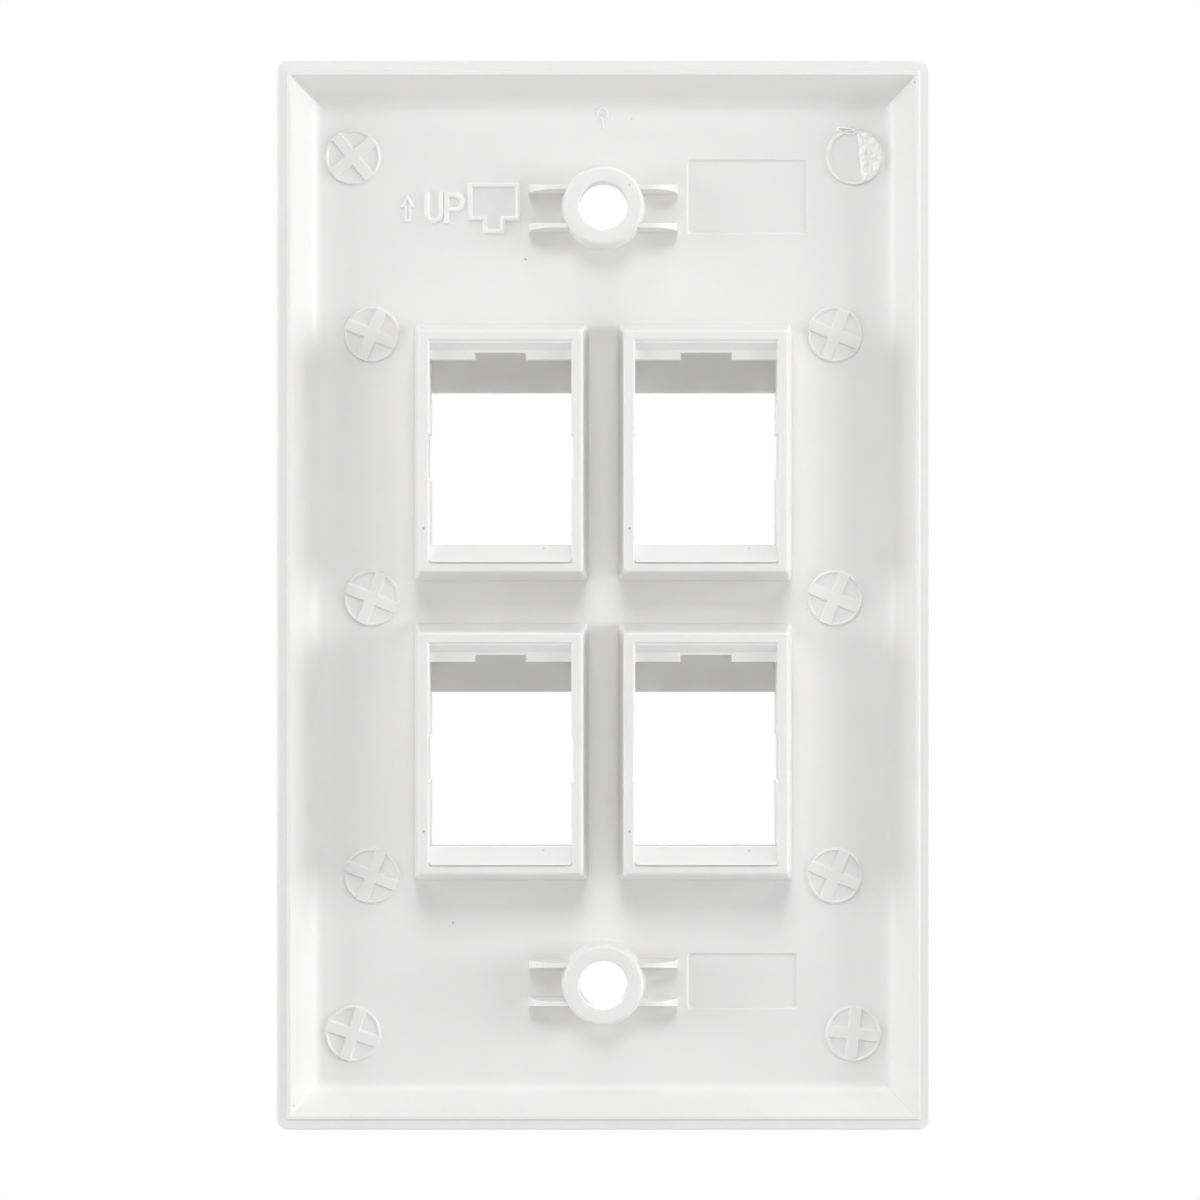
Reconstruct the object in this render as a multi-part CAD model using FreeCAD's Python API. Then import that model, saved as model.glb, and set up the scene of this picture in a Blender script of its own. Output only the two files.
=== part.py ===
"""Keystone faceplate for one wall box: a single white moulding with four jack ports.

The plate stands as it does on a wall. X runs across it, to the right for someone
looking at its front. Y runs through it: the front face is at -Y and the rear rim
meets the wall at Y = 0. Z is up, and the origin is midway between the two fixing
holes. Everything is in millimetres.

The moulding is a shallow tray. Its rim has a raised inner lip, its floor carries two
screw bosses with ribs, four deep port frames with the catches that hold the jacks,
the round pads that the ejector pins leave, and two shallow sunk panels.
"""
import FreeCAD, Part
import math
import os

Vector = FreeCAD.Vector

# Plate
PLATE_WIDTH = 69.85
PLATE_HEIGHT = 114.3
PLATE_DEPTH = 6.2           # front face to wall
FACE_THICKNESS = 2.0
CORNER_RADIUS = 1.25        # seen from the front or back
BEVEL_WIDTH = 4.2           # crowned edge round the front face
SIDE_LAND = 2.8             # straight part of the side wall, from the rim

# Rim
RIM_LEDGE = 1.05            # outer ledge, set below the lip
LIP_WIDTH = 0.45            # raised inner lip that meets the wall
LIP_RISE = 0.28
LIP_SLOPE = 0.12            # the lip's outer side leans in by this much
RIM_EDGE_CHAMFER = 0.12
INNER_WALL_RUN = 2.35       # how far the inner wall leans in, from lip to floor
INNER_FLOOR_RADIUS = 1.7

# Fixing screws
SCREW_SPACING = 83.34       # centre to centre, for a one-gang box
SCREW_HOLE_RADIUS = 2.6
SCREW_HEAD_RADIUS = 3.8     # countersink at the front face
SCREW_HEAD_ANGLE = 82.0
HOLE_EDGE_CHAMFER = 0.12

# Screw bosses and their ribs
BOSS_TOP_RADIUS = 4.3
BOSS_DRAFT = 3.5
BOSS_SHORT_OF_WALL = 0.3    # so that the rim meets the wall first
BOSS_EDGE_ROUND = 0.45
RIB_REACH = 8.0             # from the screw's axis to the end of a rib
RIB_OFFSET = 2.05           # from the screw's axis to the middle of a rib
RIB_THICKNESS = 0.5         # at its top
RIB_DRAFT = 4.5
RIB_BELOW_BOSS = 0.35
RIB_END_RADIUS = 3.2

# Jack ports
PORT_WIDTH = 15.1
PORT_HEIGHT = 16.4          # the opening in the front face
PORT_COLUMN_PITCH = 21.9
PORT_ROW_PITCH = 32.2
PORT_ROWS_DROP = 2.5        # the openings sit this far below the plate's middle
PORT_EDGE_CHAMFER = 0.2
PORT_RELIEF_HEIGHT = 4.8    # shallow slot in the middle of each side wall
PORT_RELIEF_DEPTH = 0.2
PORT_RELIEF_RISE = 1.2      # the slot's middle above the opening's middle

# Port frames
FRAME_RISE = 7.0            # above the floor
FRAME_WALL = 1.2            # at the frame's rear edge
FRAME_SILL_WALL = 1.0       # the same below the port
FRAME_SIDE_DRAFT = 5.0
FRAME_END_DRAFT = 7.5
FRAME_CORNER_RADIUS = 0.45
FRAME_EDGE_ROUND = 0.3
ROOM_ABOVE = 5.25           # inside the frame, above the front opening
ROOM_BELOW = 1.9            # inside the frame, below the front opening
MOUTH_CHAMFER = 0.18

# Catches inside each frame
LOWER_CATCH_PROUD = 0.2     # the ramp starts this far behind the frame's rear edge
LOWER_CATCH_DEPTH = 1.8     # and ends this far in front of it
LOWER_CATCH_LAND = 0.6
LOWER_CATCH_RADIUS = 0.3    # at the ramp's two rear corners
UPPER_CATCH_OVERHANG = 1.95
UPPER_CATCH_SLOPE_DROP = 0.9
UPPER_CATCH_SLOPE_DEPTH = 0.9
UPPER_CATCH_FACE_DEPTH = 0.25
UPPER_CATCH_LAND = 1.1
NOTCH_WIDTH = 5.3
NOTCH_HEIGHT = 0.75
NOTCH_FLARE = 0.2

# Ejector pads on the floor
PAD_RADIUS = 3.05
PAD_RISE = 0.1
PAD_RING_WIDTH = 0.12       # flat on top, between two slopes
PAD_RING_RISE = 0.28
CROSS_WIDTH = 1.1           # flat on top, between two slopes
CROSS_RISE = 0.36
PAD_SLOPE = 0.16            # how far the sides of the ring and the cross lean
CORNER_PAD_FROM_SIDE = 7.95
CORNER_PAD_FROM_END = 9.95
SIDE_PAD_FROM_SIDE = 9.98
SIDE_PAD_HEIGHTS = (28.1, -0.3, -30.2)
SIDE_PAD_TURN = -22.0
LOWER_LEFT_PAD_TURN = -18.0     # left and right as seen from behind
LOWER_RIGHT_PAD_TURN = -6.0
UPPER_LEFT_PAD_TURN = -51.0

# Sunk panels beside the bosses
PANEL_FROM_SCREW = 9.0
PANEL_CORNER_RADIUS = 0.3
PANEL_SIDE_LEAN = 0.7           # how far its sides lean in, for each mm of depth
UPPER_PANEL_WIDTH = 13.0
UPPER_PANEL_HEIGHT = 8.0
UPPER_PANEL_LIFT = 1.25         # the panel's middle above the screw's axis
UPPER_PANEL_DEPTH = 0.25
LOWER_PANEL_WIDTH = 12.0
LOWER_PANEL_HEIGHT = 6.0
LOWER_PANEL_LIFT = 0.15
LOWER_PANEL_DEPTH = 0.28

OVERRUN = 0.5       # how far a cutter or a root runs past the surface it meets
NEAR = 0.001        # two depths closer than this are the same

FRONT_Y = -PLATE_DEPTH
FLOOR_Y = FACE_THICKNESS - PLATE_DEPTH
FRAME_TOP_Y = FLOOR_Y + FRAME_RISE
BOSS_TOP_Y = -BOSS_SHORT_OF_WALL
RIM_WIDTH = RIM_LEDGE + LIP_WIDTH


def across(a, y):
    """A point of a section that runs across the plate."""
    return Vector(a, y, 0)


def upright(a, y):
    """A point of a section that runs up the plate."""
    return Vector(0, y, a)


def at_depth(y):
    """Places points seen from the front, at the depth y."""
    return lambda x, z: Vector(x, y, z)


def rounded_outline(corners, place):
    """A closed wire through corners of (a, b, radius), with an arc at each rounded one."""
    points = [place(a, b) for a, b, _ in corners]
    starts, ends, arcs = [], [], []
    for i, (_, _, radius) in enumerate(corners):
        corner = points[i]
        to_last = (points[i - 1] - corner).normalize()
        to_next = (points[(i + 1) % len(points)] - corner).normalize()
        half_angle = to_last.getAngle(to_next) / 2
        if radius == 0:
            starts.append(corner)
            ends.append(corner)
            arcs.append(None)
            continue
        reach = radius / math.tan(half_angle)
        middle = (to_last + to_next).normalize() * radius * (1 / math.sin(half_angle) - 1)
        starts.append(corner + to_last * reach)
        ends.append(corner + to_next * reach)
        arcs.append(Part.Arc(starts[-1], corner + middle, ends[-1]).toShape())
    edges = []
    for i, arc in enumerate(arcs):
        if arc:
            edges.append(arc)
        following = starts[(i + 1) % len(starts)]
        edges.append(Part.LineSegment(ends[i], following).toShape())
    return Part.Wire(edges)


def rectangle(half_width, low, high, radius):
    """Corners of a rectangle about the middle of its width."""
    return [
        (-half_width, low, radius),
        (half_width, low, radius),
        (half_width, high, radius),
        (-half_width, high, radius),
    ]


def prism(corners, place, along):
    """A straight solid with the given outline."""
    return Part.Face(rounded_outline(corners, place)).extrude(along)


def block(low, high):
    """A plain box between two corners."""
    size = high - low
    return Part.makeBox(size.x, size.y, size.z, low)


def crossed(plan, elevation, reach):
    """The solid that has one outline across the plate and another up it."""
    up = Part.Face(plan).extrude(Vector(0, 0, 2 * reach))
    up.translate(Vector(0, 0, -reach))
    sideways = Part.Face(elevation).extrude(Vector(2 * reach, 0, 0))
    sideways.translate(Vector(-reach, 0, 0))
    return up.common(sideways)


def mitred(section):
    """The plate-sized solid that has one kind of section both ways, with mitred corners."""
    plan = section(PLATE_WIDTH / 2, across)
    elevation = section(PLATE_HEIGHT / 2, upright)
    return crossed(plan, elevation, PLATE_HEIGHT)


def outer_section(half, place):
    """The plate's outside: lip, ledge, side wall and the crowned edge of the front."""
    crown_drop = PLATE_DEPTH - SIDE_LAND
    radius = (BEVEL_WIDTH ** 2 + crown_drop ** 2) / (2 * crown_drop)
    sweep = math.acos((radius - crown_drop) / radius) / 2
    middle_in = BEVEL_WIDTH - radius * math.sin(sweep)
    middle_y = FRONT_Y + radius * (1 - math.cos(sweep))
    right = [
        (half - RIM_LEDGE - LIP_SLOPE, 0),
        (half - RIM_LEDGE, -LIP_RISE),
        (half, -LIP_RISE),
        (half, -SIDE_LAND),
    ]
    front = (half - BEVEL_WIDTH, FRONT_Y)
    edges = []
    for side in (1, -1):
        points = [place(side * a, y) for a, y in right]
        for start, end in zip(points, points[1:]):
            edges.append(Part.LineSegment(start, end).toShape())
        middle = place(side * (half - middle_in), middle_y)
        crown = Part.Arc(points[-1], middle, place(side * front[0], front[1]))
        edges.append(crown.toShape())
    for a, y in (right[0], front):
        edges.append(Part.LineSegment(place(a, y), place(-a, y)).toShape())
    return Part.Wire(Part.__sortEdges__(edges))


def hollow_section(half, place):
    """The tray's hollow: leaning walls that run into the floor with a radius."""
    mouth = half - RIM_WIDTH
    foot = mouth - INNER_WALL_RUN
    flare = OVERRUN * INNER_WALL_RUN / -FLOOR_Y
    return rounded_outline(
        [
            (-mouth - flare, OVERRUN, 0),
            (mouth + flare, OVERRUN, 0),
            (foot, FLOOR_Y, INNER_FLOOR_RADIUS),
            (-foot, FLOOR_Y, INNER_FLOOR_RADIUS),
        ],
        place,
    )


def tray():
    """The plate with its rim and floor, before anything is put on it."""
    half_width = PLATE_WIDTH / 2
    half_height = PLATE_HEIGHT / 2
    corners = rectangle(half_width, -half_height, half_height, CORNER_RADIUS)
    outline = prism(corners, at_depth(FRONT_Y - OVERRUN), Vector(0, PLATE_DEPTH + 2 * OVERRUN, 0))
    body = mitred(outer_section).common(outline)
    rim_edges = [
        edge for edge in body.Edges
        if all(abs(v.Y + LIP_RISE) < NEAR for v in edge.Vertexes)
        and max(abs(edge.CenterOfMass.x) - half_width, abs(edge.CenterOfMass.z) - half_height)
        > -CORNER_RADIUS / 2
    ]
    body = body.makeChamfer(RIM_EDGE_CHAMFER, rim_edges)
    return body.cut(mitred(hollow_section))


def boss(screw_z):
    """A tapered boss with a rounded top edge and two long ribs across it."""
    height = BOSS_TOP_Y - FLOOR_Y + OVERRUN
    foot_radius = BOSS_TOP_RADIUS + height * math.tan(math.radians(BOSS_DRAFT))
    root = Vector(0, FLOOR_Y - OVERRUN, screw_z)
    post = Part.makeCone(foot_radius, BOSS_TOP_RADIUS, height, root, Vector(0, 1, 0))
    top_edges = [
        edge for edge in post.Edges
        if edge.Closed and abs(edge.CenterOfMass.y - BOSS_TOP_Y) < NEAR
    ]
    post = post.makeFillet(BOSS_EDGE_ROUND, top_edges)
    for side in (1, -1):
        post = post.fuse(rib(screw_z + side * RIB_OFFSET))
    return post


def rib(z):
    """One rib: its ends are rounded off, and both its faces lean in to the top."""
    top = BOSS_TOP_Y - RIB_BELOW_BOSS
    bottom = FLOOR_Y - OVERRUN
    spread = (top - bottom) * math.tan(math.radians(RIB_DRAFT))
    half_top = RIB_THICKNESS / 2
    half_foot = half_top + spread
    side_view = [
        (-RIB_REACH, bottom, 0),
        (RIB_REACH, bottom, 0),
        (RIB_REACH, top, RIB_END_RADIUS),
        (-RIB_REACH, top, RIB_END_RADIUS),
    ]
    end_view = [
        (-half_foot, bottom, 0),
        (half_foot, bottom, 0),
        (half_top, top, 0),
        (-half_top, top, 0),
    ]
    shape = crossed(
        rounded_outline(side_view, across), rounded_outline(end_view, upright), 2 * RIB_REACH
    )
    return shape.translated(Vector(0, 0, z))


def screw_hole(screw_z):
    """The cutter for one fixing hole, with its countersink and the chamfer on the boss."""
    depth = PLATE_DEPTH + OVERRUN
    start = Vector(0, FRONT_Y - OVERRUN, screw_z)
    cutter = Part.makeCylinder(SCREW_HOLE_RADIUS, depth, start, Vector(0, 1, 0))
    slope = math.tan(math.radians(SCREW_HEAD_ANGLE / 2))
    sink_depth = (SCREW_HEAD_RADIUS - SCREW_HOLE_RADIUS) / slope
    sink = Part.makeCone(
        SCREW_HEAD_RADIUS + OVERRUN * slope, SCREW_HOLE_RADIUS,
        sink_depth + OVERRUN, start, Vector(0, 1, 0),
    )
    edge_start = Vector(0, BOSS_TOP_Y - HOLE_EDGE_CHAMFER, screw_z)
    edge_end_radius = SCREW_HOLE_RADIUS + HOLE_EDGE_CHAMFER + OVERRUN
    edge = Part.makeCone(
        SCREW_HOLE_RADIUS, edge_end_radius,
        HOLE_EDGE_CHAMFER + OVERRUN, edge_start, Vector(0, 1, 0),
    )
    return cutter.fuse([sink, edge])


def port_places():
    """The middle of each front opening, as (x, z)."""
    for row in (1, -1):
        for column in (-1, 1):
            x = column * PORT_COLUMN_PITCH / 2
            z = row * PORT_ROW_PITCH / 2 - PORT_ROWS_DROP
            yield x, z


def drafted(low, high, draft, place):
    """A section of a frame: from its root in the floor it leans in to its rear edge."""
    root = FLOOR_Y - OVERRUN
    lean = (FRAME_TOP_Y - root) * math.tan(math.radians(draft))
    corners = [
        (low - lean, root, 0),
        (high + lean, root, 0),
        (high, FRAME_TOP_Y, 0),
        (low, FRAME_TOP_Y, 0),
    ]
    return rounded_outline(corners, place)


def port_frame():
    """The drafted block that a port is cut into, about the middle of its opening."""
    side = PORT_WIDTH / 2 + FRAME_WALL
    top = PORT_HEIGHT / 2 + ROOM_ABOVE + FRAME_WALL
    bottom = -PORT_HEIGHT / 2 - ROOM_BELOW - FRAME_SILL_WALL
    plan = drafted(-side, side, FRAME_SIDE_DRAFT, across)
    elevation = drafted(bottom, top, FRAME_END_DRAFT, upright)
    solid = crossed(plan, elevation, PLATE_WIDTH)
    corners = [
        edge for edge in solid.Edges
        if abs(edge.Vertexes[0].Y - edge.Vertexes[1].Y) > NEAR
    ]
    solid = solid.makeFillet(FRAME_CORNER_RADIUS, corners)
    top_edges = [
        edge for edge in solid.Edges
        if all(abs(v.Y - FRAME_TOP_Y) < NEAR for v in edge.Vertexes)
    ]
    solid = solid.makeFillet(FRAME_EDGE_ROUND, top_edges)
    roof = PORT_HEIGHT / 2 + ROOM_ABOVE
    sill = -PORT_HEIGHT / 2 - ROOM_BELOW
    solid = solid.cut(port_edge(FRAME_TOP_Y, 1, sill, roof, MOUTH_CHAMFER))
    return solid.fuse(lower_catch(sill))


def lower_catch(sill):
    """The block that carries the lower catch, proud of the frame's rear edge."""
    half_width = PORT_WIDTH / 2
    corners = [
        (-half_width, sill, LOWER_CATCH_RADIUS),
        (half_width, sill, LOWER_CATCH_RADIUS),
        (half_width, -PORT_HEIGHT / 2, 0),
        (-half_width, -PORT_HEIGHT / 2, 0),
    ]
    along = Vector(0, LOWER_CATCH_DEPTH + LOWER_CATCH_PROUD, 0)
    return prism(corners, at_depth(FRAME_TOP_Y - LOWER_CATCH_DEPTH), along)


def port_passage():
    """The cutter for the way through a port, with the two catches left standing."""
    half = PORT_HEIGHT / 2
    roof = half + ROOM_ABOVE
    sill = -half - ROOM_BELOW
    lower_start = FRAME_TOP_Y + LOWER_CATCH_PROUD
    lower_tip = FRAME_TOP_Y - LOWER_CATCH_DEPTH
    lower_front = lower_tip - LOWER_CATCH_LAND
    slope_y = FRAME_TOP_Y - UPPER_CATCH_SLOPE_DEPTH
    upper_tip = slope_y - UPPER_CATCH_FACE_DEPTH
    upper_front = upper_tip - UPPER_CATCH_LAND
    upper_edge = roof - UPPER_CATCH_OVERHANG
    beyond = FRAME_TOP_Y + OVERRUN
    side_view = [
        (-half, FRONT_Y - OVERRUN),
        (half, FRONT_Y - OVERRUN),
        (half, FLOOR_Y),
        (roof, FLOOR_Y),
        (roof, upper_front),
        (upper_edge, upper_front),
        (upper_edge, upper_tip),
        (roof - UPPER_CATCH_SLOPE_DROP, slope_y),
        (roof, FRAME_TOP_Y),
        (roof, beyond),
        (sill, beyond),
        (sill, lower_start),
        (-half, lower_tip),
        (-half, lower_front),
        (sill, lower_front),
        (sill, FLOOR_Y),
        (-half, FLOOR_Y),
    ]
    passage = prism([(z, y, 0) for z, y in side_view], upright, Vector(PORT_WIDTH, 0, 0))
    passage.translate(Vector(-PORT_WIDTH / 2, 0, 0))
    return passage


def notch():
    """The cutter for the gap in the middle of the upper catch, wider to the rear."""
    edge = PORT_HEIGHT / 2 + ROOM_ABOVE - UPPER_CATCH_OVERHANG
    front = FRAME_TOP_Y - UPPER_CATCH_SLOPE_DEPTH - UPPER_CATCH_FACE_DEPTH - UPPER_CATCH_LAND
    half_front = NOTCH_WIDTH / 2
    half_rear = half_front + NOTCH_FLARE
    plan = [
        (-half_front, front, 0),
        (half_front, front, 0),
        (half_rear, FRAME_TOP_Y, 0),
        (-half_rear, FRAME_TOP_Y, 0),
    ]
    cutter = prism(plan, across, Vector(0, 0, NOTCH_HEIGHT + OVERRUN))
    cutter.translate(Vector(0, 0, edge - OVERRUN))
    return cutter


def flared(y, outward, half_width, low, high, run, depth, radius=0):
    """A cutter whose sides lean out: it is run narrower at that depth than at y."""
    wires = []
    for step in (-depth, OVERRUN):
        grow = run * step / depth
        corners = rectangle(half_width + grow, low - grow, high + grow, radius)
        wires.append(rounded_outline(corners, at_depth(y + outward * step)))
    return Part.makeLoft(wires, True, True)


def port_edge(y, outward, low, high, chamfer):
    """The cutter that chamfers the edge of a port where it opens at the depth y."""
    half_width = PORT_WIDTH / 2 + chamfer
    return flared(y, outward, half_width, low - chamfer, high + chamfer, chamfer, chamfer)


def port_cutters():
    """Everything that is cut away for one port, about the middle of its opening."""
    half = PORT_HEIGHT / 2
    relief = block(
        Vector(-PORT_WIDTH / 2 - PORT_RELIEF_DEPTH, FRONT_Y - OVERRUN,
               PORT_RELIEF_RISE - PORT_RELIEF_HEIGHT / 2),
        Vector(PORT_WIDTH / 2 + PORT_RELIEF_DEPTH, FRAME_TOP_Y + OVERRUN,
               PORT_RELIEF_RISE + PORT_RELIEF_HEIGHT / 2),
    )
    front_edge = port_edge(FRONT_Y, -1, -half, half, PORT_EDGE_CHAMFER)
    return [port_passage(), notch(), relief, front_edge]


def pad_disc():
    """The disc of a pad with its proud ring."""
    root = FLOOR_Y - OVERRUN
    disc = FLOOR_Y + PAD_RISE
    crest = FLOOR_Y + PAD_RING_RISE
    crest_radius = PAD_RADIUS - PAD_SLOPE
    section = [
        (0, root, 0),
        (PAD_RADIUS, root, 0),
        (PAD_RADIUS, FLOOR_Y, 0),
        (crest_radius, crest, 0),
        (crest_radius - PAD_RING_WIDTH, crest, 0),
        (crest_radius - PAD_RING_WIDTH - PAD_SLOPE, disc, 0),
        (0, disc, 0),
    ]
    face = Part.Face(rounded_outline(section, across))
    return face.revolve(Vector(0, 0, 0), Vector(0, 1, 0), 360)


def cross_arm():
    """One arm of a pad's cross, from ring to ring, with leaning sides."""
    half_top = CROSS_WIDTH / 2
    half_foot = half_top + PAD_SLOPE
    section = [
        (-half_foot, FLOOR_Y - OVERRUN, 0),
        (half_foot, FLOOR_Y - OVERRUN, 0),
        (half_foot, FLOOR_Y + PAD_RISE, 0),
        (half_top, FLOOR_Y + CROSS_RISE, 0),
        (-half_top, FLOOR_Y + CROSS_RISE, 0),
        (-half_foot, FLOOR_Y + PAD_RISE, 0),
    ]
    reach = PAD_RADIUS - PAD_SLOPE
    return prism(section, upright, Vector(2 * reach, 0, 0)).translated(Vector(-reach, 0, 0))


def pad(x, z, turn):
    """One ejector pad, with a cross unless turn is None."""
    solid = pad_disc()
    if turn is not None:
        for quarter in (0, 90):
            arm = cross_arm()
            # seen from behind, a turn is the other way round than about +Y
            arm.rotate(Vector(0, 0, 0), Vector(0, 1, 0), turn + quarter)
            solid = solid.fuse(arm)
    return solid.translated(Vector(x, 0, z))


def pads():
    """All ten pads. Left and right are as seen from behind, so left is at +X."""
    corner_x = PLATE_WIDTH / 2 - CORNER_PAD_FROM_SIDE
    corner_z = PLATE_HEIGHT / 2 - CORNER_PAD_FROM_END
    side_x = PLATE_WIDTH / 2 - SIDE_PAD_FROM_SIDE
    placed = [
        pad(corner_x, corner_z, UPPER_LEFT_PAD_TURN),
        pad(-corner_x, corner_z, None),
        pad(corner_x, -corner_z, LOWER_LEFT_PAD_TURN),
        pad(-corner_x, -corner_z, LOWER_RIGHT_PAD_TURN),
    ]
    for z in SIDE_PAD_HEIGHTS:
        for side in (1, -1):
            placed.append(pad(side * side_x, z, SIDE_PAD_TURN))
    return placed


def sunk_panel(screw_z, width, height, lift, depth):
    """The cutter for a shallow panel on the right of a boss, as seen from behind."""
    low = screw_z + lift - height / 2
    run = PANEL_SIDE_LEAN * depth
    cutter = flared(FLOOR_Y, 1, width / 2, low, low + height, run, depth, PANEL_CORNER_RADIUS)
    return cutter.translated(Vector(-PANEL_FROM_SCREW - width / 2, 0, 0))


def faceplate():
    """The whole moulding."""
    top_screw = SCREW_SPACING / 2
    panels = [
        sunk_panel(top_screw, UPPER_PANEL_WIDTH, UPPER_PANEL_HEIGHT,
                   UPPER_PANEL_LIFT, UPPER_PANEL_DEPTH),
        sunk_panel(-top_screw, LOWER_PANEL_WIDTH, LOWER_PANEL_HEIGHT,
                   LOWER_PANEL_LIFT, LOWER_PANEL_DEPTH),
    ]
    body = tray().cut(panels)
    added = [boss(top_screw), boss(-top_screw)] + pads()
    cutters = [screw_hole(top_screw), screw_hole(-top_screw)]
    frame = port_frame()
    cuts = port_cutters()
    for x, z in port_places():
        place = Vector(x, 0, z)
        added.append(frame.translated(place))
        cutters += [cutter.translated(place) for cutter in cuts]
    return body.fuse(added).cut(cutters).removeSplitter()


os.makedirs("parts", exist_ok=True)
moulding = faceplate()
moulding.exportStep("parts/faceplate.step")
print("valid", moulding.isValid(), "solids", len(moulding.Solids), "faces", len(moulding.Faces))
print("volume mm3", round(moulding.Volume, 2), "box", moulding.BoundBox)
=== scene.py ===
"""Looks for a four-port keystone faceplate: its white plastic, raised signs and stage.

Everything is in metres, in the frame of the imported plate: X to the right seen from
the front, Y through the plate with the wall side at +Y, Z up. The signs stand on the
rear floor of the plate. They are laid out as seen from behind, where "right" is -X.
"""

import math
import random
import bmesh
import bpy
from bpy.props import FloatProperty, FloatVectorProperty, PointerProperty
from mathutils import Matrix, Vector, noise


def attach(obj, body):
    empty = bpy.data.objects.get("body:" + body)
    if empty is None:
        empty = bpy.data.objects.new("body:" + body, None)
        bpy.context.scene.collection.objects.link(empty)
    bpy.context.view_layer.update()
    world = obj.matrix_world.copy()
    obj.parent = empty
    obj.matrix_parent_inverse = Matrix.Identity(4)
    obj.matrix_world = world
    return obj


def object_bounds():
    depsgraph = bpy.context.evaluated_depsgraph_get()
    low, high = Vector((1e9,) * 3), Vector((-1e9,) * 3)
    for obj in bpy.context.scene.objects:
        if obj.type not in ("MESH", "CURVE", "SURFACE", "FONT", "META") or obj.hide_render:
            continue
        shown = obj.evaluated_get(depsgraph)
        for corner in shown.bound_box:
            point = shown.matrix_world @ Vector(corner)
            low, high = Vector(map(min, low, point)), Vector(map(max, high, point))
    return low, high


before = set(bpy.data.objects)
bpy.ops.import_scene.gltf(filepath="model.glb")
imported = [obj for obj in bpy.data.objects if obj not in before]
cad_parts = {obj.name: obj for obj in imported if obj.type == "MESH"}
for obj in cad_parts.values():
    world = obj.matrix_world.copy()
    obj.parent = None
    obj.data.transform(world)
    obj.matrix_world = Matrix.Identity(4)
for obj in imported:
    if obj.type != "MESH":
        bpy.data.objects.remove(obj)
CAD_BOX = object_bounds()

bl_info = {
    "name": "Keystone Faceplate",
    "version": (1, 0, 0),
    "blender": (4, 5, 0),
    "location": "View3D > Sidebar > Faceplate",
    "description": "Finishes a moulded four-port keystone faceplate and sets its stage",
    "category": "Object",
}

MM = 0.001
BODY = "root"
PLATE_NODE = "faceplate"
PLATE_PLASTIC = "White plastic"
SIGN_PLASTIC_PAINTED_BRIGHT = "White plastic, raised"
WHITE = (1, 1, 1, 1)
REAR = Vector((0, 1, 0))
SINK = 0.12 * MM            # how far a raised piece is rooted in the plate
SMOOTH_ANGLE = math.radians(38)
SEED = 11

# Places on the plate's rear, as seen from behind: to the right and up from its middle
UPPER_BOSS = (0.0, 41.67 * MM)
UPPER_RIGHT_PAD = (26.97 * MM, 47.2 * MM)
PAD_CREST = 2.83 * MM       # radius of the top of a pad's ring
PORT_COLUMN = 10.95 * MM
PORT_ROWS = (13.6 * MM, -18.6 * MM)


# Settings

class FinishSettings(bpy.types.PropertyGroup):
    """The white plastic."""

    color: FloatVectorProperty(
        name="Plastic", description="Colour of the plastic", subtype="COLOR",
        size=3, min=0, max=1, default=(0.87, 0.865, 0.855))
    shade: FloatVectorProperty(
        name="Shade", description="Colour where the plastic is a little greyer", subtype="COLOR",
        size=3, min=0, max=1, default=(0.855, 0.85, 0.84))
    roughness: FloatProperty(
        name="Roughness", description="Roughness of the moulded skin", subtype="FACTOR",
        min=0, max=1, default=0.37)
    grain_size: FloatProperty(
        name="Grain", description="Width of one grain of the mould's texture", unit="LENGTH",
        precision=5, default=0.35 * MM)
    grain_depth: FloatProperty(
        name="Grain depth", description="Depth of the mould's texture", unit="LENGTH",
        precision=6, default=0.004 * MM)
    ripple_size: FloatProperty(
        name="Ripple", description="Width of the slow ripples in the skin", unit="LENGTH",
        precision=4, default=7 * MM)
    ripple_depth: FloatProperty(
        name="Ripple depth", description="Depth of the slow ripples in the skin", unit="LENGTH",
        precision=6, default=0.012 * MM)
    edge_round: FloatProperty(
        name="Edge round", description="Radius that softens every sharp edge", unit="LENGTH",
        precision=5, default=0.12 * MM)
    # painted highlight: a paler colour painted along outer edges, standing in for the light that they
    # catch
    edge_highlight_reach: FloatProperty(
        name="Edge reach", description="Width of the paler line along each outer edge",
        unit="LENGTH", precision=5, default=0.16 * MM)
    edge_highlight_color: FloatVectorProperty(
        name="Edge colour", description="Colour of the outer edges, rubbed by handling",
        subtype="COLOR", size=3, min=0, max=1, default=(0.95, 0.948, 0.94))


class SignSettings(bpy.types.PropertyGroup):
    """The raised arrow, letters and jack outline."""

    rise: FloatProperty(
        name="Rise", description="Height of the signs above the floor", unit="LENGTH",
        precision=5, default=0.38 * MM)
    stroke: FloatProperty(
        name="Stroke", description="Width of the letters' strokes", unit="LENGTH",
        precision=5, default=0.59 * MM)
    outline: FloatProperty(
        name="Outline", description="Width of the jack's outline", unit="LENGTH",
        precision=5, default=0.54 * MM)
    arrow_rise: FloatProperty(
        name="Arrow rise", description="Height of the arrow above the floor", unit="LENGTH",
        precision=5, default=0.228 * MM)
    arrow_outline: FloatProperty(
        name="Arrow outline", description="Width of the arrow's outline", unit="LENGTH",
        precision=5, default=0.3348 * MM)
    # painted highlight: the signs' colour is paler than the plate's, standing in for the light that
    # their raised tops catch
    color: FloatVectorProperty(
        name="Sign colour", description="Colour of the raised signs, polished by the mould",
        subtype="COLOR", size=3, min=0, max=1, default=(0.95, 0.945, 0.93))
    letter_height: FloatProperty(
        name="Letter height", description="Height of the capital letters", unit="LENGTH",
        precision=5, default=3.36 * MM)
    baseline: FloatProperty(
        name="Baseline", description="Height of the letters' foot above the plate's middle",
        unit="LENGTH", precision=5, default=40.05 * MM)


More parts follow.
